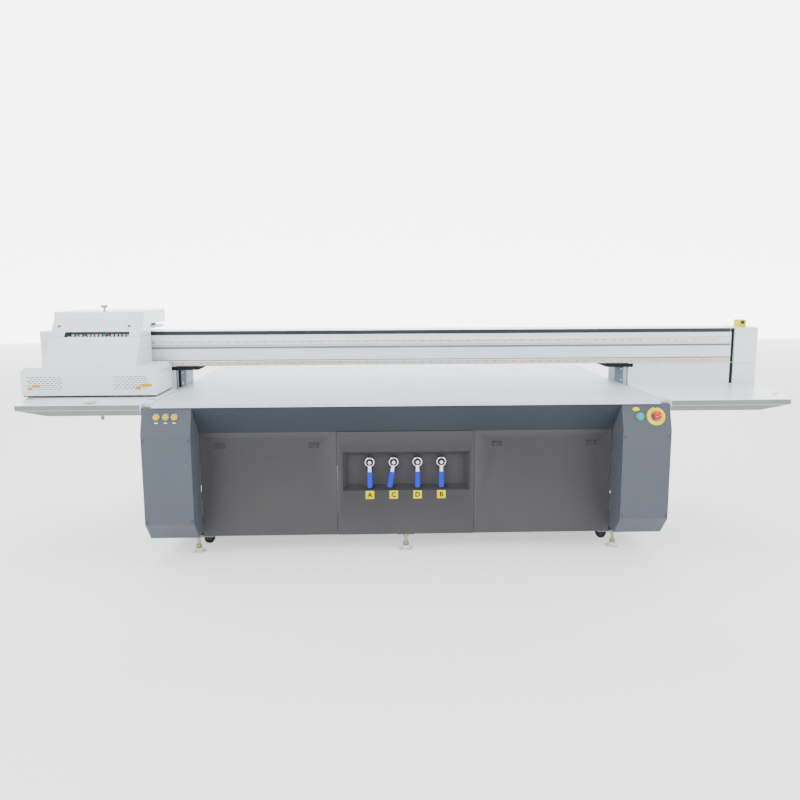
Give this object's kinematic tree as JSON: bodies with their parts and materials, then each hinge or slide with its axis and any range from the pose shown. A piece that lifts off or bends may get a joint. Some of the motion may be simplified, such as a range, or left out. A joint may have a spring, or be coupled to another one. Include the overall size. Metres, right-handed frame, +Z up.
{
  "type": "flatbed printer",
  "caption": "Wide flatbed UV printer: vacuum table on a base cabinet, travelling gantry beam with side trays, and a hooded print carriage.",
  "frame": {"origin": "centre of the whole machine on the floor, under the feet", "axes": "+X to the right along the beam, +Y from the front to the back, +Z up"},
  "size_m": [4.7, 2.1386, 1.487],
  "materials": {
    "frame_steel": "satin",
    "rail_steel": "polished",
    "anodised": "satin",
    "cover_blue": "satin",
    "fascia_blue": "satin",
    "panel_grey": "matt",
    "shell_white": "satin",
    "black_plastic": "matt",
    "chrome": "polished",
    "lever_blue": "gloss",
    "yellow": "gloss",
    "green": "gloss",
    "red": "gloss",
    "bezel": "brushed",
    "white_plastic": "gloss",
    "wheel_black": "matt",
    "handle_grey": "brushed",
    "lamp_black": "satin"
  },
  "bodies": {
    "base": {"base_posts": "frame_steel", "base_rails_x": "frame_steel", "base_rails_y": "frame_steel", "y_beams": "rail_steel", "table_bearers": "frame_steel", "vacuum_table": "anodised", "side_panels": "cover_blue", "rear_panel": "cover_blue", "power_inlet": "black_plastic", "corner_cover_left": "cover_blue", "corner_cover_right": "cover_blue", "front_fascia": "fascia_blue", "front_panel_left": "panel_grey", "front_panel_centre": "panel_grey", "front_panel_right": "panel_grey", "panel_latches": "black_plastic", "valve_bodies": "chrome", "valve_tags": "yellow", "button_bezels": "bezel", "estop_ring": "yellow", "levelling_feet": "white_plastic", "foot_plates": "frame_steel", "caster_forks": "black_plastic"},
    "gantry": {"gantry_side_plates": "anodised", "gantry_brackets": "shell_white", "beam": "shell_white", "x_rails": "rail_steel", "cable_trough": "black_plastic", "tray_left": "shell_white", "tray_right": "shell_white", "towers": "shell_white", "gantry_rear_panels": "shell_white", "tower_estop_box": "yellow", "capping_station": "anodised", "drain_spout": "chrome", "tray_knob": "white_plastic"},
    "tower_stop": {"tower_estop_button": "black_plastic"},
    "carriage": {"slider_plate": "anodised", "lower_hood": "shell_white", "mid_hood": "shell_white", "ink_dampers": "white_plastic"},
    "hood_lid": {"lid": "shell_white", "lid_handle": "handle_grey"},
    "head": {"head_plate": "anodised", "print_heads": "black_plastic", "uv_lamps": "lamp_black"},
    "start": {"start_button": "green"},
    "front_stop": {"estop_button": "red"},
    "valve_a": {"valve_lever_a": "lever_blue"},
    "valve_c": {"valve_lever_c": "lever_blue"},
    "valve_d": {"valve_lever_d": "lever_blue"},
    "valve_b": {"valve_lever_b": "lever_blue"},
    "yellow_1": {"yellow_button_1": "yellow"},
    "yellow_2": {"yellow_button_2": "yellow"},
    "yellow_3": {"yellow_button_3": "yellow"},
    "wheel_1": {"caster_wheel_1": "wheel_black"},
    "wheel_2": {"caster_wheel_2": "wheel_black"},
    "wheel_3": {"caster_wheel_3": "wheel_black"},
    "wheel_4": {"caster_wheel_4": "wheel_black"}
  },
  "joints": [
    {"name": "gantry_travel", "type": "slide", "parent": "base", "child": "gantry", "axis": [0, 1, 0], "range_m": [0, 1]},
    {"name": "carriage_travel", "type": "slide", "parent": "gantry", "child": "carriage", "axis": [1, 0, 0], "range_m": [0, 3.6]},
    {"name": "head_lift", "type": "slide", "parent": "carriage", "child": "head", "axis": [0, 0, 1], "range_m": [0, 0.03]},
    {"name": "lid_hinge", "type": "hinge", "parent": "carriage", "child": "hood_lid", "pos_m": [-1.896, -0.031, 1.352], "axis": [-1, 0, 0], "range_deg": [0, 55]},
    {"name": "tower_stop_press", "type": "slide", "parent": "gantry", "child": "tower_stop", "axis": [0, 1, 0], "range_m": [0, 0.004], "stiffness_N_per_m": 1500},
    {"name": "start_press", "type": "slide", "parent": "base", "child": "start", "axis": [0, 0.9339, -0.3576], "range_m": [0, 0.004], "stiffness_N_per_m": 300},
    {"name": "front_stop_press", "type": "slide", "parent": "base", "child": "front_stop", "axis": [0, 0.9339, -0.3576], "range_m": [0, 0.006], "stiffness_N_per_m": 1500},
    {"name": "valve_a_turn", "type": "hinge", "parent": "base", "child": "valve_a", "pos_m": [-0.225, -0.856, 0.557], "axis": [0, 1, 0], "range_deg": [0, 42]},
    {"name": "valve_c_turn", "type": "hinge", "parent": "base", "child": "valve_c", "pos_m": [-0.082, -0.856, 0.557], "axis": [0, 1, 0], "range_deg": [-9.3, 32]},
    {"name": "valve_d_turn", "type": "hinge", "parent": "base", "child": "valve_d", "pos_m": [0.061, -0.856, 0.557], "axis": [0, 1, 0], "range_deg": [0, 42]},
    {"name": "valve_b_turn", "type": "hinge", "parent": "base", "child": "valve_b", "pos_m": [0.204, -0.856, 0.557], "axis": [0, 1, 0], "range_deg": [0, 42]},
    {"name": "yellow_1_press", "type": "slide", "parent": "base", "child": "yellow_1", "axis": [0, 0.9339, -0.3576], "range_m": [0, 0.004], "stiffness_N_per_m": 300},
    {"name": "yellow_2_press", "type": "slide", "parent": "base", "child": "yellow_2", "axis": [0, 0.9339, -0.3576], "range_m": [0, 0.004], "stiffness_N_per_m": 300},
    {"name": "yellow_3_press", "type": "slide", "parent": "base", "child": "yellow_3", "axis": [0, 0.9339, -0.3576], "range_m": [0, 0.004], "stiffness_N_per_m": 300},
    {"name": "wheel_1_spin", "type": "hinge", "parent": "base", "child": "wheel_1", "pos_m": [-1.225, -0.697, 0.054], "axis": [0, 1, 0], "continuous": true},
    {"name": "wheel_2_spin", "type": "hinge", "parent": "base", "child": "wheel_2", "pos_m": [-1.225, 0.775, 0.054], "axis": [0, 1, 0], "continuous": true},
    {"name": "wheel_3_spin", "type": "hinge", "parent": "base", "child": "wheel_3", "pos_m": [1.225, -0.697, 0.054], "axis": [0, 1, 0], "continuous": true},
    {"name": "wheel_4_spin", "type": "hinge", "parent": "base", "child": "wheel_4", "pos_m": [1.225, 0.775, 0.054], "axis": [0, 1, 0], "continuous": true}
  ]
}
